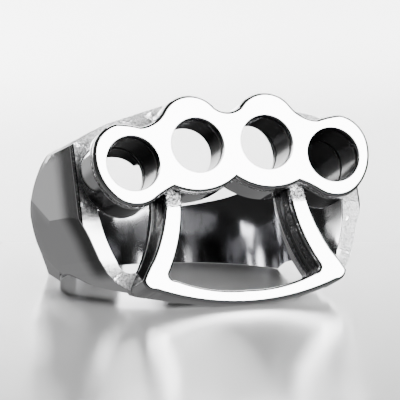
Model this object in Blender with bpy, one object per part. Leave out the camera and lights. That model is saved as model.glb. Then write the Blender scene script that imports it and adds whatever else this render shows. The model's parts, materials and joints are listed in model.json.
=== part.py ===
"""Knuckle ring: one polished steel casting, lying on its side as it rests by itself.

The ring is modelled in its own frame, in millimetres: X to the right of the face,
Y up along the finger's axis, Z forward out of the face, with the origin on the
finger's axis at the height of the two inner holes. The finished object is turned
and lowered on to the floor, in metres, with its face towards -Y.
"""
import math

import bmesh
import bpy
from mathutils import Matrix, Vector

MM = 0.001

# Finger hole and band
FINGER_RADIUS = 10.3
FINGER_Z = -0.5
BAND_RADIUS = 12.35
SIDE_FLAT = 12.05
RIM_FRONT = 9.0
RIM_BEVEL = 0.25
BAND_TOP = 4.3

# Bar with four holes
BAR_FRONT = 12.9
BAR_BACK = 8.5
BAR_FILLET = 0.3
HOLE_RADIUS = 2.2
HOLE_BACK = 3.0
HOLE_CENTRES = ((-8.41, -1.23), (-2.91, 0.0), (2.91, 0.0), (8.41, -1.23))

# Frame of two legs and the palm bar
FRAME_FRONT = 12.2
FRAME_BACK = 8.0
FRAME_FILLET = 0.25

# Rest: the palm bar and the back of the band stand on one plane
REST_TILT = math.radians(20.3)
PALM_CONTACT = (-12.6, 10.3)
FLOOR_FLAT = 0.4

# Resolution
ARC_STEP = 0.75
BAND_SIDES = 72
HOLE_SIDES = 28

# The band's top falls in an S from the head to the back, over a length along the band
TOP_BACK = 0.35
TOP_LENGTH = 17.5
TOP_BEND = 1.25

# Inset of the band's outside at each height, from the bottom to the rounded top
BAND_LAYERS = (
    # below the top, inset
    (24.0, 0.0),
    (4.8, 0.0),
    (2.8, 0.08),
    (1.9, 0.3),
    (1.2, 0.6),
    (0.65, 1.0),
    (0.25, 1.5),
    (0.0, 2.05),
)

# Right half of the bar's outline, from the top of the middle valley
# to the middle cusp; each row is the middle and the end of one arc
BAR_START = (0.0, 2.63)
BAR_ARCS = (
    # through, to
    ((0.55, 2.72), (1.05, 2.98)),
    ((3.2, 4.07), (5.3, 2.98)),
    ((6.25, 2.05), (7.45, 1.7)),
    ((8.4, 1.92), (9.4, 2.03)),
    ((10.85, 1.2), (11.57, -0.6)),
    ((11.15, -2.65), (9.9, -4.17)),
    ((8.3, -4.66), (6.9, -4.2)),
    ((6.1, -3.7), (5.25, -3.3)),
    ((3.4, -3.78), (0.0, -2.75)),
)

# Right half of the frame's outline: outside of the leg and the palm bar,
# then back along the window, from the top of the leg
LEG_START = (5.75, -2.0)
LEG_OUTSIDE = (
    # through, to
    ((6.22, -5.6), (7.5, -8.75)),
    ((8.05, -9.55), (8.5, -10.35)),
    ((8.3, -10.85), (7.5, -11.22)),
    ((3.8, -12.25), (0.0, -12.6)),
)
WINDOW_START = (0.0, -11.5)
WINDOW_SIDE = (
    # through, to
    ((3.1, -11.28), (5.85, -10.42)),
    ((6.25, -10.2), (6.25, -9.85)),
    ((5.05, -7.1), (4.55, -2.0)),
)

# Right half of the opening behind the frame, from its top edge to its foot
OPENING_START = (0.0, -0.2)
OPENING_ARCS = (
    # through, to
    ((5.0, -0.2), (9.6, -0.2)),
    ((10.1, -0.4), (10.2, -1.1)),
    ((10.22, -5.3), (9.3, -8.2)),
    ((8.7, -9.0), (7.9, -9.05)),
    ((7.2, -9.9), (6.25, -10.2)),
    ((3.2, -11.25), (0.0, -11.5)),
)

# Cuts under the ring, each a right half seen along its sweep from front to back, with
# heights above the floor at a depth behind the palm bar
FLOOR = ((15.0, 0.0),)

PALM_ARCH = (
    # half width, height
    (2.6, 0.0),
    (5.3, 0.28),
    (6.6, 0.45),
    (8.5, 0.7),
    (12.6, 0.85),
)

# The foot of the rim rises towards the front
FOOT_SLOPE = math.radians(-10.4)
FOOT_DEPTH = 2.5
FOOT = (
    # half width, height
    (5.0, 0.4),
    (7.5, 0.75),
    (8.5, 1.0),
    (10.0, 1.75),
    (11.0, 3.4),
    (11.5, 5.2),
    (SIDE_FLAT, 7.1),
    (12.6, 9.0),
)

# The arch under the side rises towards the back
ARCH_SLOPE = math.radians(13.5)
ARCH_DEPTH = 17.0
ARCH = (
    # half width, height
    (8.3, -1.8),
    (8.9, -0.2),
    (9.4, 1.2),
    (9.9, 2.1),
    (10.4, 2.7),
    (11.0, 3.2),
    (11.5, 3.8),
    (SIDE_FLAT, 6.9),
    (12.6, 30.0),
)

# Slope that lowers the outer top corners of the shoulders towards the rim
SHOULDER_TOP = ((4.0, 4.22), (8.8, 2.95), (SIDE_FLAT, 1.3))
SHOULDER_RISE = 0.1


def clear_scene():
    for item in list(bpy.data.objects):
        bpy.data.objects.remove(item, do_unlink=True)


def make_collection(name):
    group = bpy.data.collections.new(name)
    bpy.context.scene.collection.children.link(group)
    return group


def arc(start, through, end):
    """Points along the arc from start, which is left out, through a point to end."""
    a, b, c = Vector(start), Vector(through), Vector(end)
    turn = 2.0 * (b - a).cross(c - a)
    if abs(turn) < 1e-6:
        return [b, c]
    ab, ac = b - a, c - a
    across = Vector((-(ac.y * ab.length_squared - ab.y * ac.length_squared),
                     ac.x * ab.length_squared - ab.x * ac.length_squared))
    middle = a - across / turn
    first = math.atan2(a.y - middle.y, a.x - middle.x)
    last = math.atan2(c.y - middle.y, c.x - middle.x)
    sweep = (last - first) % math.tau if turn > 0 else -((first - last) % math.tau)
    radius = (a - middle).length
    steps = max(2, math.ceil(abs(sweep) * radius / ARC_STEP))
    return [middle + radius * Vector((math.cos(first + sweep * i / steps),
                                      math.sin(first + sweep * i / steps)))
            for i in range(1, steps + 1)]


def arc_chain(start, rows):
    points = [Vector(start)]
    for through, end in rows:
        points += arc(points[-1], through, end)
    return points


def mirrored(half):
    """A closed outline from its right half, which starts and ends at X = 0."""
    return half + [Vector((-p.x, p.y)) for p in reversed(half[1:-1])]


def link_mesh(name, mesh, group):
    item = bpy.data.objects.new(name, mesh)
    group.objects.link(item)
    return item


def prism(name, outline, back, front, group, fillet=0.0):
    """A filled 2D curve with thickness along Z, made a mesh."""
    curve = bpy.data.curves.new(name, "CURVE")
    curve.dimensions = "2D"
    curve.fill_mode = "BOTH"
    spline = curve.splines.new("POLY")
    spline.points.add(len(outline) - 1)
    for point, place in zip(spline.points, outline):
        point.co = (place.x * MM, place.y * MM, 0.0, 1.0)
    spline.use_cyclic_u = True
    curve.extrude = (front - back) / 2 * MM - fillet * MM
    curve.bevel_depth = fillet * MM
    curve.bevel_resolution = 1
    curve.offset = -fillet * MM
    drawn = link_mesh(name + "_curve", curve, group)
    bpy.context.view_layer.update()
    evaluated = drawn.evaluated_get(bpy.context.evaluated_depsgraph_get())
    mesh = bpy.data.meshes.new_from_object(evaluated)
    bpy.data.objects.remove(drawn, do_unlink=True)
    shape = bmesh.new()
    shape.from_mesh(mesh)
    bmesh.ops.remove_doubles(shape, verts=shape.verts, dist=0.00001)
    bmesh.ops.translate(shape, verts=shape.verts, vec=(0.0, 0.0, (front + back) / 2 * MM))
    bmesh.ops.recalc_face_normals(shape, faces=shape.faces)
    shape.to_mesh(mesh)
    shape.free()
    return link_mesh(name, mesh, group)


def cylinder(name, radius, sides, ends, place, group):
    """A cylinder along Z between two heights, moved by a matrix in millimetres."""
    shape = bmesh.new()
    bmesh.ops.create_cone(shape, cap_ends=True, segments=sides, radius1=radius,
                          radius2=radius, depth=ends[1] - ends[0])
    bmesh.ops.translate(shape, verts=shape.verts, vec=(0.0, 0.0, (ends[0] + ends[1]) / 2))
    bmesh.ops.transform(shape, verts=shape.verts, matrix=Matrix.Scale(MM, 4) @ place)
    mesh = bpy.data.meshes.new(name)
    shape.to_mesh(mesh)
    shape.free()
    return link_mesh(name, mesh, group)


def boolean(item, operation, tool):
    modifier = item.modifiers.new(tool.name, "BOOLEAN")
    modifier.operation = operation
    modifier.solver = "EXACT"
    modifier.object = tool


def band_outline(inset):
    """The band seen along the finger: round at the back, with flat sides that lean in
    a little to the bevelled rim in front."""
    radius = BAND_RADIUS - inset
    side = min(radius, SIDE_FLAT)
    rim = [Vector((side, RIM_FRONT - 2.5)), Vector((side - 0.1, RIM_FRONT - RIM_BEVEL)),
           Vector((side - 0.1 - RIM_BEVEL, RIM_FRONT))]
    half = BAND_SIDES // 2
    back = []
    for i in range(half + 1):
        angle = -math.pi * i / half
        x = max(-side, min(side, radius * math.cos(angle)))
        back.append(Vector((x, radius * math.sin(angle))))
    return rim[::-1] + back + [Vector((-p.x, p.y)) for p in rim]


def top_height(z, below_top):
    """Height of a layer of the band, which falls from the head to the back."""
    behind = min(1.0, (RIM_FRONT - z) / TOP_LENGTH) ** TOP_BEND
    fall = (1.0 - math.cos(math.pi * behind)) / 2
    return BAND_TOP - (BAND_TOP - TOP_BACK) * fall - below_top


def cap(shape, verts):
    """Close a loop with strips across X, which stay flat where the loop falls to the back."""
    for i in range(len(verts) // 2):
        corners = dict.fromkeys((verts[i], verts[i + 1], verts[-2 - i], verts[-1 - i]))
        bmesh.ops.contextual_create(shape, geom=list(corners))


def make_band(group):
    """The blank of the band and head: layers along the finger, bridged and capped."""
    shape = bmesh.new()
    rings = []
    loops = []
    for below_top, inset in BAND_LAYERS:
        verts = [shape.verts.new((p.x * MM, top_height(p.y, below_top) * MM, p.y * MM))
                 for p in band_outline(inset)]
        edges = [shape.edges.new((verts[i - 1], verts[i])) for i in range(len(verts))]
        rings.append(verts)
        loops.append(edges)
    for lower, upper in zip(loops, loops[1:]):
        bmesh.ops.bridge_loops(shape, edges=lower + upper)
    cap(shape, rings[0])
    cap(shape, rings[-1])
    bmesh.ops.recalc_face_normals(shape, faces=shape.faces)
    mesh = bpy.data.meshes.new("knuckle_ring")
    shape.to_mesh(mesh)
    shape.free()
    return link_mesh("knuckle_ring", mesh, group)


def make_bar(cutters):
    outline = mirrored(arc_chain(BAR_START, BAR_ARCS))
    return prism("bar", outline, BAR_BACK, BAR_FRONT, cutters, BAR_FILLET)


def drill_holes(ring, cutters):
    """The four round holes, through the bar and the head into the finger hole."""
    for number, (x, y) in enumerate(HOLE_CENTRES, 1):
        place = Matrix.Translation((x, y, 0.0))
        hole = cylinder(f"hole_{number}", HOLE_RADIUS, HOLE_SIDES, (HOLE_BACK, 20.0), place, cutters)
        boolean(ring, "DIFFERENCE", hole)


def make_frame(cutters):
    outside = arc_chain(LEG_START, LEG_OUTSIDE)
    inside = arc_chain(WINDOW_START, WINDOW_SIDE)
    left_out = [Vector((-p.x, p.y)) for p in reversed(outside[:-1])]
    left_in = [Vector((-p.x, p.y)) for p in reversed(inside[1:])]
    outline = outside + left_out + left_in + inside
    return prism("frame", outline, FRAME_BACK, FRAME_FRONT, cutters, FRAME_FILLET)


def below(name, edge, cutters, back=-40.0):
    """A long prism of everything below the right half of an edge and its mirror image."""
    wide, deep = 30.0, -30.0
    right = [Vector(row) for row in edge]
    left = [Vector((-p.x, p.y)) for p in reversed(right) if p.x > 0]
    outline = right + [Vector((wide, right[-1].y)), Vector((wide, deep)),
                       Vector((-wide, deep)), Vector((-wide, right[-1].y))] + left
    return prism(name, outline, back, 40.0, cutters)


def on_floor(cutter, depth=0.0, slope=0.0):
    """Turn a cutter from the ring's frame to the floor it rests on."""
    contact_y, contact_z = PALM_CONTACT
    floor = Matrix.Translation(Vector((0.0, contact_y, contact_z)) * MM)
    turn = Matrix.Rotation(REST_TILT, 4, "X")
    place = Matrix.Translation(Vector((0.0, FLOOR_FLAT, -depth)) * MM)
    cutter.data.transform(floor @ turn @ place @ Matrix.Rotation(slope, 4, "X"))
    return cutter


def make_shoulder_top(cutters, side):
    """A wedge above one shoulder that slopes down outwards and towards the rim."""
    edge = [Vector(row) for row in SHOULDER_TOP]
    high = 20.0
    edge.append(edge[-1] + 2 * (edge[-1] - edge[-2]))
    edge += [Vector((edge[-1].x, high)), Vector((edge[0].x, high))]
    outline = [Vector((side * place.x, place.y)) for place in edge]
    cutter = prism("shoulder_top", outline, -20.0, 20.0, cutters)
    lean = Matrix.Identity(4)
    lean[1][2] = -SHOULDER_RISE
    lean[1][3] = SHOULDER_RISE * RIM_FRONT * MM
    cutter.data.transform(lean)
    return cutter


def make_steel():
    steel = bpy.data.materials.new("polished_steel")
    steel.use_nodes = True
    shader = steel.node_tree.nodes["Principled BSDF"]
    shader.inputs["Base Color"].default_value = (0.62, 0.62, 0.63, 1.0)
    shader.inputs["Metallic"].default_value = 1.0
    shader.inputs["Roughness"].default_value = 0.08
    return steel


def place_at_rest(ring, cutters, group):
    """Carry the ring and its cutters on an empty, turned so that the ring lies on its
    side, and move that until the ring stands on the floor, centred."""
    rest = bpy.data.objects.new("rest", None)
    group.objects.link(rest)
    for item in [ring, *cutters.objects]:
        item.parent = rest
    rest.rotation_euler = (math.pi / 2 - REST_TILT, 0.0, 0.0)
    bpy.context.view_layer.update()
    evaluated = ring.evaluated_get(bpy.context.evaluated_depsgraph_get())
    corners = [evaluated.matrix_world @ v.co for v in evaluated.data.vertices]
    low = [min(c[axis] for c in corners) for axis in range(3)]
    high = [max(c[axis] for c in corners) for axis in range(3)]
    rest.location = (-(low[0] + high[0]) / 2, -(low[1] + high[1]) / 2, -low[2])


def main():
    clear_scene()
    parts = make_collection("knuckle_ring_parts")
    cutters = make_collection("knuckle_ring_cutters")
    ring = make_band(parts)
    for side in (-1, 1):
        boolean(ring, "DIFFERENCE", make_shoulder_top(cutters, side))
    opening = prism("opening", mirrored(arc_chain(OPENING_START, OPENING_ARCS)), 0.0, 20.0, cutters)
    boolean(ring, "DIFFERENCE", opening)
    foot = on_floor(below("foot", FOOT, cutters), FOOT_DEPTH, FOOT_SLOPE)
    boolean(ring, "DIFFERENCE", foot)
    arch = on_floor(below("arch", ARCH, cutters), ARCH_DEPTH, ARCH_SLOPE)
    boolean(ring, "DIFFERENCE", arch)
    boolean(ring, "UNION", make_bar(cutters))
    boolean(ring, "UNION", make_frame(cutters))
    upright = Matrix.Translation((0.0, 0.0, FINGER_Z)) @ Matrix.Rotation(math.pi / 2, 4, "X")
    finger = cylinder("finger", FINGER_RADIUS, BAND_SIDES, (-20.0, 20.0), upright, cutters)
    boolean(ring, "DIFFERENCE", finger)
    drill_holes(ring, cutters)
    palm = on_floor(below("palm_arch", PALM_ARCH, cutters, back=-9.0))
    boolean(ring, "DIFFERENCE", palm)
    boolean(ring, "DIFFERENCE", on_floor(below("floor", FLOOR, cutters)))
    for tool in cutters.objects:
        tool.hide_render = True
        tool.display_type = "WIRE"
    ring.data.materials.append(make_steel())
    place_at_rest(ring, cutters, parts)


main()
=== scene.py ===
"""Knuckle ring, photographed lying on its side: the visual model on the CAD's frame.

The casting is modelled in its own frame, in millimetres: X to the right of the face,
Y up along the finger's axis, Z forward out of the face. It is then turned and lowered
on to the floor, in metres, and set in the CAD's box.
"""

import json
import math

import bmesh
import bpy
from mathutils import Matrix, Vector

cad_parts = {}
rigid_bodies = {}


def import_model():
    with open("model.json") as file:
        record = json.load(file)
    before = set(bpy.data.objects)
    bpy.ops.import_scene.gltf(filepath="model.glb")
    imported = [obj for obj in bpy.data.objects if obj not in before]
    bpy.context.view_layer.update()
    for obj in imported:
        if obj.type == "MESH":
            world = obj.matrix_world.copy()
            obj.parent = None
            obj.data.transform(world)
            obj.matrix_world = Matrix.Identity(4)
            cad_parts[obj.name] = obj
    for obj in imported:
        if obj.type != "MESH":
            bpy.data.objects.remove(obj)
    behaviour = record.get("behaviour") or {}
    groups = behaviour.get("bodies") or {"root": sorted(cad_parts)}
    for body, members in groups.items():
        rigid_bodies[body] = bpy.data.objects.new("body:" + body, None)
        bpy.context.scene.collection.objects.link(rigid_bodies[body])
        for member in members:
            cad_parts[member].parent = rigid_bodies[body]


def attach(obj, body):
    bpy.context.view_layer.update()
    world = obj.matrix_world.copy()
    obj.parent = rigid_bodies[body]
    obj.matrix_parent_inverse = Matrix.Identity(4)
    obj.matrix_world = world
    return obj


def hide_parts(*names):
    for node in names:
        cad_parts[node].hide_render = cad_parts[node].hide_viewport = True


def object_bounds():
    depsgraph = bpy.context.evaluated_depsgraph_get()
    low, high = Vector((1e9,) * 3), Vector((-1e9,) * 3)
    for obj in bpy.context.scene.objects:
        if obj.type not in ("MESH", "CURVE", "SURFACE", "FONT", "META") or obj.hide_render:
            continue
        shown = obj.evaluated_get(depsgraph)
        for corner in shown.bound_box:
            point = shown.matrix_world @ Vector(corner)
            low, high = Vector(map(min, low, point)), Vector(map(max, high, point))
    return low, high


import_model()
CAD_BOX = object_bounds()

MM = 0.001

# Finger hole and band
FINGER_RADIUS = 10.3
FINGER_Z = -0.5
BAND_RADIUS = 12.35
SIDE_FLAT = 12.05
SIDE_LEAN = 0.1
LEAN_LENGTH = 2.5
RIM_FRONT = 9.0
RIM_BEVEL = 0.25
BAND_TOP = 4.3
BAND_DEPTH = 24.0
TOP_BACK = 0.35
TOP_LENGTH = 17.5
TOP_BEND = 1.33
ROUND_DEPTH = 2.9
ROUND_INSET = 2.05
ROUND_START = math.radians(38)

# Bar with four holes
BAR_FRONT = 12.9
BAR_BACK = 8.5
BAR_FILLET = 0.3
HOLE_RADIUS = 2.2
HOLE_BACK = 3.0
HOLE_EDGE = 0.07
HOLE_CENTRES = ((-8.41, -1.23), (-2.91, 0.0), (2.91, 0.0), (8.41, -1.23))

# Frame of two legs and the palm bar
FRAME_FRONT = 12.2
FRAME_BACK = 8.0
FRAME_FILLET = 0.25

# Rest
REST_TILT = math.radians(20.3)
PALM_CONTACT = (-12.6, 10.3)
FLOOR_FLAT = 0.4

# Resolution
ARC_STEP = 0.22
BAND_SIDES = 200
HOLE_SIDES = 96
ARC_TURN = math.radians(9)
FILLET_STEPS = 7
ROUND_STEPS = 12
SHARP_ANGLE = math.radians(11.5)

# Outlines: each row is the middle and the end of one arc, right half only
BAR_START = (0.0, 2.63)
BAR_ARCS = (
    # through, to
    ((0.55, 2.72), (1.05, 2.98)),
    ((3.2, 4.07), (5.3, 2.98)),
    ((6.25, 2.05), (7.45, 1.7)),
    ((8.4, 1.92), (9.4, 2.03)),
    ((10.85, 1.2), (11.57, -0.6)),
    ((11.15, -2.65), (9.9, -4.17)),
    ((8.3, -4.66), (6.9, -4.2)),
    ((6.1, -3.7), (5.25, -3.3)),
    ((3.4, -3.78), (0.0, -2.75)),
)
LEG_START = (5.75, -2.0)
LEG_OUTSIDE = (
    # through, to
    ((6.22, -5.6), (7.5, -8.75)),
    ((8.05, -9.55), (8.5, -10.35)),
    ((8.3, -10.85), (7.5, -11.22)),
    ((3.8, -12.25), (0.0, -12.6)),
)
WINDOW_START = (0.0, -11.5)
WINDOW_SIDE = (
    # through, to
    ((3.1, -11.28), (5.85, -10.42)),
    ((6.25, -10.2), (6.25, -9.85)),
    ((5.05, -7.1), (4.55, -2.0)),
)
OPENING_START = (0.0, -0.2)
OPENING_ARCS = (
    # through, to
    ((5.0, -0.2), (9.6, -0.2)),
    ((10.1, -0.4), (10.2, -1.1)),
    ((10.22, -5.3), (9.3, -8.2)),
    ((8.7, -9.0), (7.9, -9.05)),
    ((7.2, -9.9), (6.25, -10.2)),
    ((3.2, -11.25), (0.0, -11.5)),
)

# Cuts under the ring: each row is half the width and the height above the floor. The heights
# of the foot and the arch hold at a depth behind the palm bar's edge, and change on a slope
FLOOR = ((15.0, 0.0),)
PALM_ARCH = ((2.6, 0.0), (5.3, 0.28), (6.6, 0.45), (8.5, 0.7), (12.6, 0.85))
PALM_ARCH_BACK = -9.0
FOOT_SLOPE = math.radians(-10.4)
FOOT_DEPTH = 2.5
FOOT_ROWS_LEFT_SHARP = 3
FOOT = (
    (5.0, 0.4), (7.5, 0.75), (8.5, 1.0), (9.9, 1.9),
    (10.7, 3.6), (11.3, 5.4), (SIDE_FLAT, 7.1), (12.6, 9.0),
)
ARCH_SLOPE = math.radians(13.5)
ARCH_DEPTH = 17.0
ARCH = (
    (8.8, -1.8), (9.4, -0.1), (9.9, 1.1), (10.4, 2.1),
    (10.8, 3.1), (11.2, 4.1), (11.6, 5.1), (SIDE_FLAT, 6.9), (12.6, 30.0),
)
# Cut above each shoulder: distance from the middle, height; it rises towards the back
SHOULDER_TOP = ((4.0, 4.22), (8.8, 2.95), (SIDE_FLAT, 1.3))
SHOULDER_RISE = 0.1

# Far enough for a cutter to clear the casting
CLEAR = 20.0
FAR = 40.0
CUTTER_HALF_WIDTH = 30.0
CUTTER_FOOT = -30.0

# Distances at which points count as one: in a prism, in millimetres, and in the casting, in metres
PRISM_MERGE = 0.005
CASTING_MERGE = 0.000003
CASTING_SLIVER = 0.000002

# Finishes on the steel, in the ring's frame: each pair is where a mask is 0 and where it is 1
# Rough tops of the shoulders, behind the bar
WING_LOW = (1.0, 2.4)
WING_FRONT = (8.9, 8.5)
WING_BACK = (1.0, 5.0)
# The head's front plane, rough at its foot, at its top under the bar and on the right
PLANE_BACK = (8.8, 8.95)
PLANE_FRONT = (9.25, 9.1)
PLANE_FOOT = (-7.6, -9.4)
PLANE_TOP = (-5.2, -3.9)
PLANE_RIGHT = (9.0, 9.8)
PLANE_RIGHT_SHARE = 0.75
# Walls of the legs, painted in shade, with two rough bands (middle, half width) on the sides of the
# window
WALL_FRONT = (12.0, 11.85)
WALL_BACK = (9.06, 9.16)
WALL_TOP = (-2.6, -3.0)
WALL_FOOT = (-10.4, -10.2)
WALL_INSIDE = (4.0, 4.2)
WALL_OUTSIDE = (6.45, 6.2)
WALL_BANDS = ((11.0, 0.7), (9.3, 0.6))
# Rough tops of the legs, just under the cusps of the bar
LEG_TOP_BACK = (12.0, 12.15)
LEG_TOP_FRONT = (12.5, 12.3)
LEG_TOP_LOW = (-4.9, -4.2)
# Painted shade on the flanks, darkening towards the rim, and a painted dark line inside the rim's
# bevel that stands in for a dark reflection
RIM_SIDE_SHADE_BACK = (3.8, 7.4)
RIM_SIDE_SHADE_FRONT = (8.74, 8.66)
RIM_SIDE_SHADE_INSIDE = (9.6, 10.4)
LINE_BACK = (8.90, 8.92)
LINE_FRONT = (8.985, 8.975)
RIM_BACK_EDGE = (8.97, 8.99)
RIM_FRONT_EDGE = (9.2, 9.1)

# Grain, pits and marks per millimetre, and the height of the relief in millimetres
PATCH_SCALE = 1.3
GRAIN_SCALE = 5.0
PIT_SCALE = 3.5
WAVE_SCALE = 0.35
WIPING_SCALE = 18.0
CAST_HEIGHT = 0.14
WAVE_HEIGHT = 0.02

# Roughness of the polish and the cast steel, and what the painted-shade areas, walls, rim and bore
# add
POLISHED_ROUGHNESS = 0.03
CAST_ROUGHNESS = 0.42
PAINTED_SHADE_SATIN = 0.2
WALL_SATIN = 0.08
RIM_SATIN = 0.26
BORE_SATIN = 0.03

# Shades of the steel; the last two are painted shade, on the walls of the legs and in the
# painted-shade areas
BRIGHT_STEEL = (0.80, 0.80, 0.81, 1.0)
SPECK_STEEL = (0.05, 0.05, 0.052, 1.0)
CAST_GREY = 0.06
BORE_GREY = 0.5
PAINTED_WALL_SHADE = 0.05
PAINTED_SHADE_GREY = 0.012

# Place of the inputs and the output in a Mix node
MIX_VALUE_SOCKETS = (2, 0)
MIX_COLOUR_SOCKETS = (6, 2)

# Studio, in metres
STAGE_HALF = 0.6
FLOOR_GAP = 0.00002
WALL_AT = 0.6
WALL_MIDDLE = 0.055
WALL_HALF_HEIGHT = 0.0552

# Camera, in the ring's frame: its axes, the point it was solved about and where that is seen
CAMERA_RIGHT = (0.9295, -0.1267, 0.3465)
CAMERA_UP = (0.0397, 0.9680, 0.2477)
CAMERA_BACK = (-0.3668, -0.2164, 0.9048)
CAMERA_POINT = (0.0, 0.0, BAR_FRONT)
CAMERA_POINT_X = 232.70
CAMERA_POINT_Y = 143.29
CAMERA_DISTANCE = 0.264
IMAGE_SIZE = 400
FOCAL_PIXELS = 3385
SENSOR = 36.0


def arc(start, through, end):
    """Points along the arc from start, which is left out, through a point to end."""
    a, b, c = Vector(start), Vector(through), Vector(end)
    turn = 2.0 * (b - a).cross(c - a)
    if abs(turn) < 1e-6:
        return [b, c]
    ab, ac = b - a, c - a
    across = Vector((-(ac.y * ab.length_squared - ab.y * ac.length_squared),
                     ac.x * ab.length_squared - ab.x * ac.length_squared))
    middle = a - across / turn
    first = math.atan2(a.y - middle.y, a.x - middle.x)
    last = math.atan2(c.y - middle.y, c.x - middle.x)
    sweep = (last - first) % math.tau if turn > 0 else -((first - last) % math.tau)
    radius = (a - middle).length
    steps = max(2, math.ceil(abs(sweep) * radius / ARC_STEP), math.ceil(abs(sweep) / ARC_TURN))
    return [middle + radius * Vector((math.cos(first + sweep * i / steps),
                                      math.sin(first + sweep * i / steps)))
            for i in range(1, steps + 1)]


def arc_chain(start, rows):
    points = [Vector(start)]
    for through, end in rows:
        points += arc(points[-1], through, end)
    return points


def mirrored(half):
    """A closed outline from its right half, which starts and ends at X = 0."""
    return half + [Vector((-p.x, p.y)) for p in reversed(half[1:-1])]


def link_mesh(name, mesh):
    item = bpy.data.objects.new(name, mesh)
    bpy.context.scene.collection.objects.link(item)
    return item


def prism(name, outline, back, front, fillet=0.0):
    """A filled 2D curve with thickness along Z, made a mesh."""
    curve = bpy.data.curves.new(name, "CURVE")
    curve.dimensions = "2D"
    curve.fill_mode = "BOTH"
    spline = curve.splines.new("POLY")
    spline.points.add(len(outline) - 1)
    for point, place in zip(spline.points, outline):
        point.co = (place.x, place.y, 0.0, 1.0)
    spline.use_cyclic_u = True
    curve.extrude = (front - back) / 2 - fillet
    curve.bevel_depth = fillet
    curve.bevel_resolution = FILLET_STEPS
    curve.offset = -fillet
    drawn = link_mesh(name + "_curve", curve)
    bpy.context.view_layer.update()
    evaluated = drawn.evaluated_get(bpy.context.evaluated_depsgraph_get())
    mesh = bpy.data.meshes.new_from_object(evaluated)
    bpy.data.objects.remove(drawn, do_unlink=True)
    shape = bmesh.new()
    shape.from_mesh(mesh)
    bmesh.ops.remove_doubles(shape, verts=shape.verts, dist=PRISM_MERGE)
    bmesh.ops.translate(shape, verts=shape.verts, vec=(0.0, 0.0, (front + back) / 2))
    bmesh.ops.recalc_face_normals(shape, faces=shape.faces)
    shape.to_mesh(mesh)
    shape.free()
    return link_mesh(name, mesh)


def cylinder(name, radius, sides, ends, place):
    shape = bmesh.new()
    bmesh.ops.create_cone(shape, cap_ends=True, segments=sides, radius1=radius,
                          radius2=radius, depth=ends[1] - ends[0])
    bmesh.ops.translate(shape, verts=shape.verts, vec=(0.0, 0.0, (ends[0] + ends[1]) / 2))
    bmesh.ops.transform(shape, verts=shape.verts, matrix=place)
    mesh = bpy.data.meshes.new(name)
    shape.to_mesh(mesh)
    shape.free()
    return link_mesh(name, mesh)


def boolean(item, operation, tool):
    modifier = item.modifiers.new(tool.name, "BOOLEAN")
    modifier.operation = operation
    modifier.solver = "EXACT"
    modifier.object = tool


def band_outline(inset):
    """The band seen along the finger: round at the back, with flat sides that lean in
    a little to the bevelled rim in front."""
    radius = BAND_RADIUS - inset
    side = min(radius, SIDE_FLAT)
    front_side = side - SIDE_LEAN
    rim = [Vector((side, RIM_FRONT - LEAN_LENGTH)), Vector((front_side, RIM_FRONT - RIM_BEVEL)),
           Vector((front_side - RIM_BEVEL, RIM_FRONT))]
    half = BAND_SIDES // 2
    back = []
    for i in range(half + 1):
        angle = -math.pi * i / half
        x = max(-side, min(side, radius * math.cos(angle)))
        back.append(Vector((x, radius * math.sin(angle))))
    return rim[::-1] + back + [Vector((-p.x, p.y)) for p in rim]


def top_height(z, below_top):
    """Height of a layer of the band, which falls from the head to the back."""
    behind = min(1.0, (RIM_FRONT - z) / TOP_LENGTH) ** TOP_BEND
    fall = (1.0 - math.cos(math.pi * behind)) / 2
    return BAND_TOP - (BAND_TOP - TOP_BACK) * fall - below_top


def cap(shape, verts):
    """Close a loop with strips across X, which stay flat where the loop falls to the back."""
    for i in range(len(verts) // 2):
        corners = dict.fromkeys((verts[i], verts[i + 1], verts[-2 - i], verts[-1 - i]))
        bmesh.ops.contextual_create(shape, geom=list(corners))


def band_layers():
    """Depth below the top and inset of each layer, from the bottom to the rounded top."""
    layers = [(BAND_DEPTH, 0.0)]
    for step in range(ROUND_STEPS + 1):
        turn = ROUND_START + (math.pi / 2 - ROUND_START) * step / ROUND_STEPS
        depth = (1.0 - math.sin(turn)) / (1.0 - math.sin(ROUND_START))
        inset = 1.0 - math.cos(turn) / math.cos(ROUND_START)
        layers.append((ROUND_DEPTH * depth, ROUND_INSET * inset))
    return layers


def make_band():
    """The blank of the band and head: layers along the finger, bridged and capped."""
    shape = bmesh.new()
    rings = []
    loops = []
    for below_top, inset in band_layers():
        verts = [shape.verts.new((p.x, top_height(p.y, below_top), p.y))
                 for p in band_outline(inset)]
        rings.append(verts)
        loops.append([shape.edges.new((verts[i - 1], verts[i])) for i in range(len(verts))])
    for lower, upper in zip(loops, loops[1:]):
        bmesh.ops.bridge_loops(shape, edges=lower + upper)
    cap(shape, rings[0])
    cap(shape, rings[-1])
    bmesh.ops.recalc_face_normals(shape, faces=shape.faces)
    mesh = bpy.data.meshes.new("casting")
    shape.to_mesh(mesh)
    shape.free()
    return link_mesh("casting", mesh)


def make_frame():
    outside = arc_chain(LEG_START, LEG_OUTSIDE)
    inside = arc_chain(WINDOW_START, WINDOW_SIDE)
    left_out = [Vector((-p.x, p.y)) for p in reversed(outside[:-1])]
    left_in = [Vector((-p.x, p.y)) for p in reversed(inside[1:])]
    outline = outside + left_out + left_in + inside
    return prism("frame", outline, FRAME_BACK, FRAME_FRONT, FRAME_FILLET)


def rounded(rows, left_sharp):
    """Rows of an edge with its corners rounded by cutting them twice, except the last ones."""
    points = [Vector(row) for row in rows]
    soft, hard = points[:-left_sharp], points[-left_sharp:]
    for _ in range(2):
        cut = [soft[0]]
        for a, b in zip(soft, soft[1:]):
            cut += [a.lerp(b, 0.25), a.lerp(b, 0.75)]
        soft = cut + [soft[-1]]
    return soft + hard


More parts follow.
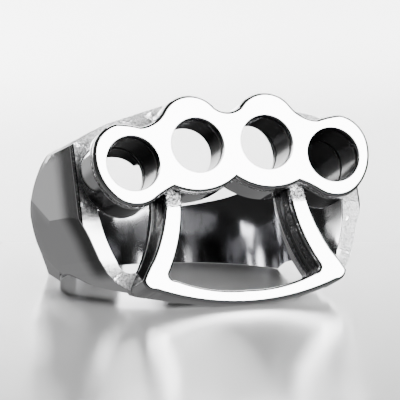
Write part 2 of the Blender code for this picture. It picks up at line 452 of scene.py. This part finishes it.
def below(name, edge, back=-FAR):
    """A long prism of everything below the right half of an edge and its mirror image."""
    wide, deep = CUTTER_HALF_WIDTH, CUTTER_FOOT
    right = [Vector(row) for row in edge]
    left = [Vector((-p.x, p.y)) for p in reversed(right) if p.x > 0]
    outline = right + [Vector((wide, right[-1].y)), Vector((wide, deep)),
                       Vector((-wide, deep)), Vector((-wide, right[-1].y))] + left
    return prism(name, outline, back, FAR)


def on_floor(cutter, depth=0.0, slope=0.0):
    """Turn a cutter from the ring's frame to the floor it rests on."""
    contact_y, contact_z = PALM_CONTACT
    floor = Matrix.Translation((0.0, contact_y, contact_z))
    turn = Matrix.Rotation(REST_TILT, 4, "X")
    place = Matrix.Translation((0.0, FLOOR_FLAT, -depth))
    cutter.data.transform(floor @ turn @ place @ Matrix.Rotation(slope, 4, "X"))
    return cutter


def make_shoulder_top(side):
    """A wedge above one shoulder that slopes down outwards and towards the rim."""
    edge = [Vector(row) for row in SHOULDER_TOP]
    edge.append(edge[-1] + 2 * (edge[-1] - edge[-2]))
    edge += [Vector((edge[-1].x, CLEAR)), Vector((edge[0].x, CLEAR))]
    outline = [Vector((side * place.x, place.y)) for place in edge]
    cutter = prism("shoulder_top", outline, -CLEAR, CLEAR)
    lean = Matrix.Identity(4)
    lean[1][2] = -SHOULDER_RISE
    lean[1][3] = SHOULDER_RISE * RIM_FRONT
    cutter.data.transform(lean)
    return cutter


def hole_edge(x, y):
    """A shallow cone that breaks the front edge of one hole."""
    shape = bmesh.new()
    bmesh.ops.create_cone(shape, cap_ends=True, segments=HOLE_SIDES, radius1=HOLE_RADIUS - HOLE_EDGE,
                          radius2=HOLE_RADIUS + 2 * HOLE_EDGE, depth=3 * HOLE_EDGE)
    bmesh.ops.translate(shape, verts=shape.verts, vec=(x, y, BAR_FRONT))
    mesh = bpy.data.meshes.new("hole_edge")
    shape.to_mesh(mesh)
    shape.free()
    return link_mesh("hole_edge", mesh)


def make_casting():
    """The whole casting in its own frame, in millimetres, as one mesh."""
    before = set(bpy.data.objects)
    ring = make_band()
    for side in (-1, 1):
        boolean(ring, "DIFFERENCE", make_shoulder_top(side))
    opening = prism("opening", mirrored(arc_chain(OPENING_START, OPENING_ARCS)), 0.0, CLEAR)
    boolean(ring, "DIFFERENCE", opening)
    foot = below("foot", rounded(FOOT, FOOT_ROWS_LEFT_SHARP))
    boolean(ring, "DIFFERENCE", on_floor(foot, FOOT_DEPTH, FOOT_SLOPE))
    boolean(ring, "DIFFERENCE", on_floor(below("arch", ARCH), ARCH_DEPTH, ARCH_SLOPE))
    bar = prism("bar", mirrored(arc_chain(BAR_START, BAR_ARCS)), BAR_BACK, BAR_FRONT, BAR_FILLET)
    boolean(ring, "UNION", bar)
    boolean(ring, "UNION", make_frame())
    upright = Matrix.Translation((0.0, 0.0, FINGER_Z)) @ Matrix.Rotation(math.pi / 2, 4, "X")
    finger = cylinder("finger", FINGER_RADIUS, BAND_SIDES, (-CLEAR, CLEAR), upright)
    boolean(ring, "DIFFERENCE", finger)
    for x, y in HOLE_CENTRES:
        place = Matrix.Translation((x, y, 0.0))
        hole = cylinder("hole", HOLE_RADIUS, HOLE_SIDES, (HOLE_BACK, CLEAR), place)
        boolean(ring, "DIFFERENCE", hole)
        boolean(ring, "DIFFERENCE", hole_edge(x, y))
    boolean(ring, "DIFFERENCE", on_floor(below("palm_arch", PALM_ARCH, PALM_ARCH_BACK)))
    boolean(ring, "DIFFERENCE", on_floor(below("floor", FLOOR)))
    bpy.context.view_layer.update()
    evaluated = ring.evaluated_get(bpy.context.evaluated_depsgraph_get())
    mesh = bpy.data.meshes.new_from_object(evaluated)
    for item in set(bpy.data.objects) - before:
        bpy.data.objects.remove(item, do_unlink=True)
    return mesh


def rest_matrix(mesh):
    """From the ring's frame in millimetres to the floor in metres, in the CAD's box."""
    turn = Matrix.Scale(MM, 4) @ Matrix.Rotation(math.pi / 2 - REST_TILT, 4, "X")
    corners = [turn @ v.co for v in mesh.vertices]
    low = Vector([min(c[axis] for c in corners) for axis in range(3)])
    high = Vector([max(c[axis] for c in corners) for axis in range(3)])
    cad_low, cad_high = CAD_BOX
    room = min((cad_high[axis] - cad_low[axis]) / (high[axis] - low[axis]) for axis in range(3))
    scale = min(1.0, room)
    middle = (low + high) / 2 * scale
    cad_middle = (cad_low + cad_high) / 2
    lift = cad_low.z - low.z * scale
    place = Matrix.Translation((cad_middle.x - middle.x, cad_middle.y - middle.y, lift))
    return place @ Matrix.Scale(scale, 4) @ turn


def smooth_surface(item):
    """Smooth curved faces, with flat ones kept flat to their edges."""
    mesh = item.data
    shape = bmesh.new()
    shape.from_mesh(mesh)
    bmesh.ops.remove_doubles(shape, verts=shape.verts, dist=CASTING_MERGE)
    bmesh.ops.dissolve_degenerate(shape, edges=shape.edges, dist=CASTING_SLIVER)
    for face in shape.faces:
        face.smooth = True
    for edge in shape.edges:
        edge.smooth = edge.is_manifold and edge.calc_face_angle(0.0) < SHARP_ANGLE
    shape.to_mesh(mesh)
    shape.free()
    weighted = item.modifiers.new("flat_faces", "WEIGHTED_NORMAL")
    weighted.keep_sharp = True
    weighted.weight = 100


def add_node(tree, kind, **settings):
    node = tree.nodes.new(kind)
    for name, value in settings.items():
        setattr(node, name, value)
    return node


def feed(tree, socket, value):
    """Give a socket another socket's value, or a constant."""
    if isinstance(value, bpy.types.NodeSocket):
        tree.links.new(value, socket)
    else:
        socket.default_value = value


def maths(tree, operation, *values):
    """A chain of one maths operation over its values, which are sockets or numbers."""
    result = values[0]
    for value in values[1:]:
        node = add_node(tree, "ShaderNodeMath", operation=operation)
        feed(tree, node.inputs[0], result)
        feed(tree, node.inputs[1], value)
        result = node.outputs[0]
    return result


def product(tree, *values):
    return maths(tree, "MULTIPLY", *values)


def total(tree, *values):
    return maths(tree, "ADD", *values)


def largest(tree, *values):
    return maths(tree, "MAXIMUM", *values)


def maths_on_one(tree, operation, value):
    node = add_node(tree, "ShaderNodeMath", operation=operation)
    tree.links.new(value, node.inputs[0])
    return node.outputs[0]


def less(tree, mask, share):
    """1 outside a mask and less inside it, by a share."""
    return maths(tree, "SUBTRACT", 1.0, product(tree, mask, share))


def mix(tree, share, first, second, colours=False):
    """Two values or two colours mixed by a share."""
    node = add_node(tree, "ShaderNodeMix", data_type="RGBA" if colours else "FLOAT")
    tree.links.new(share, node.inputs["Factor"])
    input_at, output_at = MIX_COLOUR_SOCKETS if colours else MIX_VALUE_SOCKETS
    feed(tree, node.inputs[input_at], first)
    feed(tree, node.inputs[input_at + 1], second)
    return node.outputs[output_at]


def ramp(tree, value, low, high, to_low=0.0, to_high=1.0):
    """A smooth step of a value between two limits."""
    node = add_node(tree, "ShaderNodeMapRange", interpolation_type="SMOOTHSTEP")
    tree.links.new(value, node.inputs["Value"])
    node.inputs["From Min"].default_value = low
    node.inputs["From Max"].default_value = high
    node.inputs["To Min"].default_value = to_low
    node.inputs["To Max"].default_value = to_high
    return node.outputs["Result"]


def stripe(tree, value, middle, half_width):
    """1 in a stripe about a value, 0 outside it, with soft edges."""
    off = maths_on_one(tree, "ABSOLUTE", maths(tree, "SUBTRACT", value, middle))
    return ramp(tree, off, half_width, half_width * 0.7)


def within(tree, across, along, middle_across, middle_along, radius):
    """1 inside a round area, 0 outside, with a narrow soft edge."""
    first = maths(tree, "SUBTRACT", across, middle_across)
    second = maths(tree, "SUBTRACT", along, middle_along)
    square = total(tree, product(tree, first, first), product(tree, second, second))
    return ramp(tree, maths_on_one(tree, "SQRT", square), radius + 0.02, radius)


def noise(tree, where, scale, detail, rough=0.6):
    node = add_node(tree, "ShaderNodeTexNoise")
    tree.links.new(where, node.inputs["Vector"])
    node.inputs["Scale"].default_value = scale
    node.inputs["Detail"].default_value = detail
    node.inputs["Roughness"].default_value = rough
    return node.outputs["Fac"]


def ring_place(tree, place):
    """The place on the casting in the ring's own frame, in millimetres, from Object coordinates."""
    where = add_node(tree, "ShaderNodeTexCoord")
    turn = add_node(tree, "ShaderNodeMapping", vector_type="POINT")
    spot, rotation, scale = place.inverted().decompose()
    turn.inputs["Location"].default_value = spot
    turn.inputs["Rotation"].default_value = rotation.to_euler()
    turn.inputs["Scale"].default_value = scale
    tree.links.new(where.outputs["Object"], turn.inputs["Vector"])
    split = add_node(tree, "ShaderNodeSeparateXYZ")
    tree.links.new(turn.outputs["Vector"], split.inputs["Vector"])
    return turn.outputs["Vector"], split.outputs["X"], split.outputs["Y"], split.outputs["Z"]


def rough_areas(tree, where, x, y, z, aside):
    """Masks of the steel left as cast, all of it and the tops of the shoulders, and a mask of
    the walls of the legs, which are painted in shade and are rough only in two bands."""
    wing = product(tree, ramp(tree, y, *WING_LOW), ramp(tree, z, *WING_FRONT),
                   ramp(tree, z, *WING_BACK))
    plane_ends = largest(tree, ramp(tree, y, *PLANE_FOOT), ramp(tree, y, *PLANE_TOP),
                         ramp(tree, x, *PLANE_RIGHT, 0.0, PLANE_RIGHT_SHARE))
    plane = product(tree, ramp(tree, z, *PLANE_BACK), ramp(tree, z, *PLANE_FRONT), plane_ends)
    walls = product(tree, ramp(tree, z, *WALL_FRONT), ramp(tree, z, *WALL_BACK),
                    ramp(tree, y, *WALL_TOP), ramp(tree, y, *WALL_FOOT),
                    ramp(tree, aside, *WALL_INSIDE))
    bands = largest(tree, *(stripe(tree, z, *band) for band in WALL_BANDS))
    legs = product(tree, walls, bands, ramp(tree, aside, *WALL_OUTSIDE))
    leg_tops = product(tree, ramp(tree, z, *LEG_TOP_BACK), ramp(tree, z, *LEG_TOP_FRONT),
                       ramp(tree, y, *LEG_TOP_LOW))
    patches = noise(tree, where, PATCH_SCALE, 3.0)
    rough = product(tree, largest(tree, wing, plane, legs, leg_tops), ramp(tree, patches, 0.3, 0.52))
    return rough, wing, walls


def painted_shade_areas(tree, y, z, aside):
    """Mask of painted shade: darkening on the flanks towards the rim, a painted dark line inside
    the rim's bevel that stands in for a dark reflection, and painted shade on the walls of two round
    holes."""
    rim_side_shade = product(tree, ramp(tree, z, *RIM_SIDE_SHADE_BACK), ramp(tree, z, *RIM_SIDE_SHADE_FRONT))
    line = product(tree, ramp(tree, z, *LINE_BACK), ramp(tree, z, *LINE_FRONT))
    painted_shade = product(tree, largest(tree, rim_side_shade, line), ramp(tree, aside, *RIM_SIDE_SHADE_INSIDE))
    for hole_x, hole_y in HOLE_CENTRES[2:]:
        wall = product(tree, within(tree, aside, y, hole_x, hole_y, HOLE_RADIUS + 0.03),
                       ramp(tree, z, BAR_FRONT - 0.08, BAR_FRONT - 0.2),
                       ramp(tree, z, HOLE_BACK - 0.4, HOLE_BACK - 0.1))
        painted_shade = largest(tree, painted_shade, wall)
    return painted_shade


def cast_relief(tree, where, grain, rough):
    """A bump of grain and pits on the rough steel, and of slight waves all over."""
    pits = add_node(tree, "ShaderNodeTexVoronoi", feature="F1")
    tree.links.new(where, pits.inputs["Vector"])
    pits.inputs["Scale"].default_value = PIT_SCALE
    pit = ramp(tree, pits.outputs["Distance"], 0.05, 0.5)
    cast = total(tree, product(tree, grain, 0.7), product(tree, pit, 0.3))
    waves = noise(tree, where, WAVE_SCALE, 1.0)
    height = total(tree, product(tree, cast, rough, CAST_HEIGHT), product(tree, waves, WAVE_HEIGHT))
    bump = add_node(tree, "ShaderNodeBump")
    bump.inputs["Distance"].default_value = MM
    bump.inputs["Strength"].default_value = 1.0
    tree.links.new(height, bump.inputs["Height"])
    return bump.outputs["Normal"]


def make_polished_steel(place):
    """Mirror steel with fine wiping marks, rough as cast on the shoulders and beside the legs,
    with painted shade on the walls of the legs, on the flanks by the rim and in two holes.
    """
    steel = bpy.data.materials.new("polished_steel")
    steel.use_nodes = True
    tree = steel.node_tree
    shader = tree.nodes["Principled BSDF"]
    shader.inputs["Metallic"].default_value = 1.0
    where, x, y, z = ring_place(tree, place)
    aside = maths_on_one(tree, "ABSOLUTE", x)
    rough, wing, walls = rough_areas(tree, where, x, y, z, aside)
    painted_shade = painted_shade_areas(tree, y, z, aside)
    bore = within(tree, x, z, 0.0, FINGER_Z, FINGER_RADIUS + 0.05)
    rim = product(tree, ramp(tree, z, *RIM_BACK_EDGE), ramp(tree, z, *RIM_FRONT_EDGE))
    grain = noise(tree, where, GRAIN_SCALE, 4.0, 0.7)
    tree.links.new(cast_relief(tree, where, grain, rough), shader.inputs["Normal"])

    wiping = noise(tree, where, WIPING_SCALE, 2.0)
    polished = total(tree, product(tree, wiping, 0.05), POLISHED_ROUGHNESS)
    blend = mix(tree, rough, polished, CAST_ROUGHNESS)
    satin = total(tree, product(tree, painted_shade, PAINTED_SHADE_SATIN), product(tree, walls, WALL_SATIN),
                  product(tree, rim, RIM_SATIN))
    satin = product(tree, satin, less(tree, rough, 0.7))
    satin = total(tree, satin, product(tree, bore, BORE_SATIN))
    tree.links.new(total(tree, blend, satin), shader.inputs["Roughness"])

    speck = product(tree, rough, ramp(tree, grain, 0.55, 0.45), less(tree, rim, 0.55))
    colour = mix(tree, speck, BRIGHT_STEEL, SPECK_STEEL, colours=True)
    cast_grey = product(tree, wing, ramp(tree, grain, 0.62, 0.45, 0.35, 0.95))
    # Greys over the steel: cast grey on the shoulders, a greyer bore, then painted shade on the
    # walls of the legs and in the painted-shade areas
    for mask, grey in ((cast_grey, CAST_GREY), (bore, BORE_GREY), (walls, PAINTED_WALL_SHADE),
                       (painted_shade, PAINTED_SHADE_GREY)):
        colour = mix(tree, mask, colour, (grey, grey, grey * 1.03, 1.0), colours=True)
    tree.links.new(colour, shader.inputs["Base Color"])
    return steel


def make_mottle():
    """A node group of a very faint mottle between two shades, for the studio's surfaces."""
    tree = bpy.data.node_groups.new("mottle", "ShaderNodeTree")
    for name in ("Pale", "Shaded"):
        tree.interface.new_socket(name, in_out="INPUT", socket_type="NodeSocketColor")
    tree.interface.new_socket("Color", in_out="OUTPUT", socket_type="NodeSocketColor")
    shades = add_node(tree, "NodeGroupInput").outputs
    where = add_node(tree, "ShaderNodeTexCoord")
    spots = noise(tree, where.outputs["Object"], 30.0, 2.0)
    tone = mix(tree, spots, shades["Pale"], shades["Shaded"], colours=True)
    tree.links.new(tone, add_node(tree, "NodeGroupOutput").inputs["Color"])
    return tree


def make_plain(name, mottle, grey, rough, coat):
    """A plain studio surface with a very faint mottle."""
    surface = bpy.data.materials.new(name)
    surface.use_nodes = True
    tree = surface.node_tree
    shader = tree.nodes["Principled BSDF"]
    shades = add_node(tree, "ShaderNodeGroup", node_tree=mottle)
    shades.inputs["Pale"].default_value = (grey, grey, grey, 1.0)
    shades.inputs["Shaded"].default_value = (grey * 0.98, grey * 0.98, grey * 0.98, 1.0)
    tree.links.new(shades.outputs["Color"], shader.inputs["Base Color"])
    shader.inputs["Roughness"].default_value = rough
    shader.inputs["Coat Weight"].default_value = coat
    shader.inputs["Coat Roughness"].default_value = rough
    return surface


def make_sheet(name, place, surface):
    """A flat sheet of the studio."""
    shape = bmesh.new()
    bmesh.ops.create_grid(shape, x_segments=1, y_segments=1, size=STAGE_HALF)
    bmesh.ops.transform(shape, verts=shape.verts, matrix=place)
    mesh = bpy.data.meshes.new(name)
    shape.to_mesh(mesh)
    shape.free()
    sheet = link_mesh(name, mesh)
    sheet.data.materials.append(surface)
    return sheet


def make_stage():
    """A pale sheet with a satin gloss under the ring, and a low pale wall behind it."""
    mottle = make_mottle()
    low = Matrix.Translation((0.0, 0.0, CAD_BOX[0].z - FLOOR_GAP))
    sheet = make_plain("pale_sheet", mottle, grey=0.62, rough=0.19, coat=1.0)
    make_sheet("floor", low, sheet).visible_glossy = False
    stand = Matrix.Translation((0.0, WALL_AT, WALL_MIDDLE)) @ Matrix.Rotation(math.pi / 2, 4, "X")
    flat = Matrix.Diagonal((1.0, WALL_HALF_HEIGHT / STAGE_HALF, 1.0, 1.0))
    wall = make_plain("pale_wall", mottle, grey=0.95, rough=0.9, coat=0.0)
    make_sheet("backdrop", stand @ flat, wall)


def make_softbox(name, towards, distance, size, power, target):
    """A rectangular soft light that faces its target."""
    light = bpy.data.lights.new(name, "AREA")
    light.shape = "RECTANGLE"
    light.size, light.size_y = size
    light.energy = power
    item = bpy.data.objects.new(name, light)
    bpy.context.scene.collection.objects.link(item)
    direction = Vector(towards).normalized()
    item.location = target + direction * distance
    item.rotation_euler = direction.to_track_quat("Z", "Y").to_euler()


def make_lights():
    """A key light that the ring's face mirrors, a faint one behind, and one for the wall."""
    heart = (CAD_BOX[0] + CAD_BOX[1]) / 2
    make_softbox("key_softbox", towards=(0.367, -0.774, 0.517), distance=0.45,
                 size=(0.34, 0.30), power=5.0, target=heart)
    make_softbox("back_softbox", towards=(0.35, 0.75, 0.75), distance=0.5,
                 size=(0.4, 0.2), power=1.6, target=heart)
    make_softbox("wall_light", towards=(0.0, -1.0, 0.35), distance=0.45,
                 size=(0.9, 0.2), power=22.0, target=Vector((0.0, WALL_AT, 0.05)))


def make_world(dark, behind, under):
    """A dim room: dark in front and above, paler behind the ring and below it."""
    world = bpy.data.worlds.new("studio")
    world.use_nodes = True
    tree = world.node_tree
    where = add_node(tree, "ShaderNodeTexCoord")
    split = add_node(tree, "ShaderNodeSeparateXYZ")
    tree.links.new(where.outputs["Generated"], split.inputs["Vector"])
    ahead, up = split.outputs["Y"], split.outputs["Z"]
    # The pale part is strongest at the horizon
    back = product(tree, ramp(tree, ahead, 0.6, 0.95, 0.0, behind),
                   ramp(tree, up, -0.28, -0.14, 0.35, 1.0), ramp(tree, up, 0.0, 0.2, 1.0, 0.18))
    low = ramp(tree, up, 0.0, -0.7, 0.0, under)
    tree.links.new(total(tree, back, low, dark), tree.nodes["Background"].inputs["Color"])
    bpy.context.scene.world = world


def make_camera(place):
    turn = place.to_3x3().normalized()
    right, up, back = (turn @ Vector(row) for row in (CAMERA_RIGHT, CAMERA_UP, CAMERA_BACK))
    data = bpy.data.cameras.new("camera")
    data.sensor_width = SENSOR
    data.lens = FOCAL_PIXELS / IMAGE_SIZE * SENSOR
    data.shift_x = -(CAMERA_POINT_X - IMAGE_SIZE / 2) / IMAGE_SIZE
    data.shift_y = (CAMERA_POINT_Y - IMAGE_SIZE / 2) / IMAGE_SIZE
    data.clip_start = 0.01
    camera = bpy.data.objects.new("camera", data)
    bpy.context.scene.collection.objects.link(camera)
    stand = Matrix((right, up, back)).transposed().to_4x4()
    stand.translation = place @ Vector(CAMERA_POINT) + back.normalized() * CAMERA_DISTANCE
    camera.matrix_world = stand
    bpy.context.scene.camera = camera


casting_mesh = make_casting()
rest = rest_matrix(casting_mesh)
casting_mesh.transform(rest)
casting = link_mesh("casting", casting_mesh)
casting_mesh.materials.clear()
casting_mesh.materials.append(make_polished_steel(rest))
smooth_surface(casting)
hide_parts("knuckle_ring")
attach(casting, "root")

make_stage()
make_lights()
make_world(dark=0.03, behind=0.5, under=0.1)
make_camera(rest)
